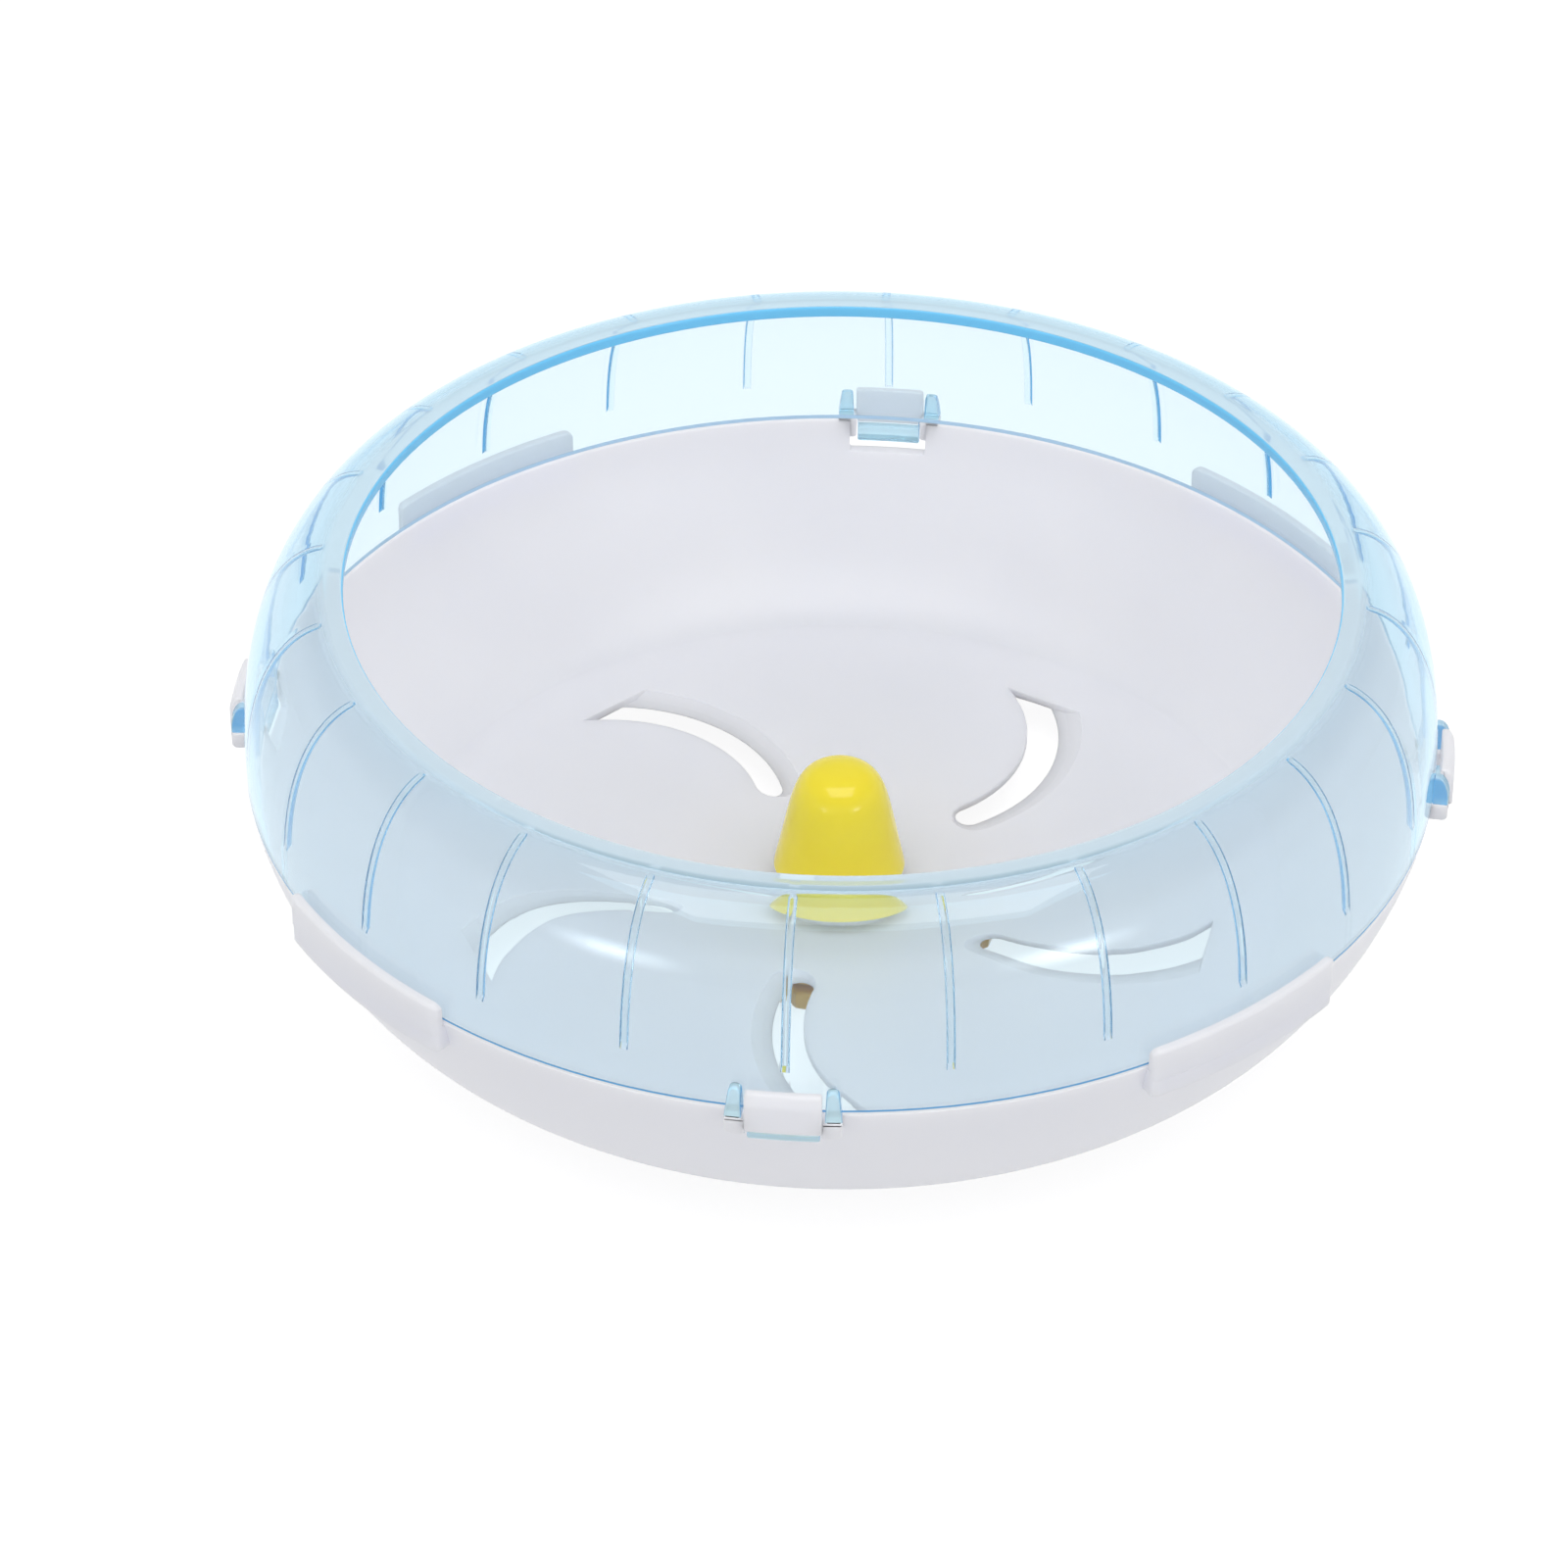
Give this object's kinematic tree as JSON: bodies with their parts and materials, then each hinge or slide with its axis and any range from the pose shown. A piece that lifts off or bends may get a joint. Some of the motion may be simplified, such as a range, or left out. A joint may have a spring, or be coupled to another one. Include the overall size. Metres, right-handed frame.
{
  "type": "hamster exercise wheel",
  "caption": "Flat, bowl-shaped small-pet running wheel: white vented back dish, clear blue ring with treads clipped on, yellow hub cap, and a screw clamp behind for cage bars.",
  "frame": {"origin": "on the axle, at the flat rear face of the clamp plate that the wheel stands on", "axes": "+Z along the axle, from the clamp towards the open mouth; the four snap clips stand on the X and Y axes"},
  "size_m": [0.17, 0.17, 0.06],
  "materials": {
    "white_plastic": "white injection-moulded polypropylene, satin",
    "clear_blue_plastic": "transparent light blue moulded plastic, polished",
    "yellow_plastic": "yellow injection-moulded plastic, satin gloss",
    "steel": "zinc-plated steel"
  },
  "bodies": {
    "mount": {"rear_mount": "yellow_plastic", "rear_washer": "steel", "front_washer": "steel", "retaining_screw": "steel"},
    "drum": {"back_dish": "white_plastic", "running_ring": "clear_blue_plastic", "hub_cap": "yellow_plastic"},
    "clamp": {"clamp_plate": "yellow_plastic", "clamp_bolt": "yellow_plastic"}
  },
  "joints": [
    {"name": "drum_spin", "type": "hinge", "parent": "mount", "child": "drum", "pos_m": [0, 0, 0.012], "axis": [0, 0, 1], "continuous": true},
    {"name": "clamp_slide", "type": "slide", "parent": "mount", "child": "clamp", "axis": [0, 0, 1], "range_m": [-0.006, 0]}
  ]
}
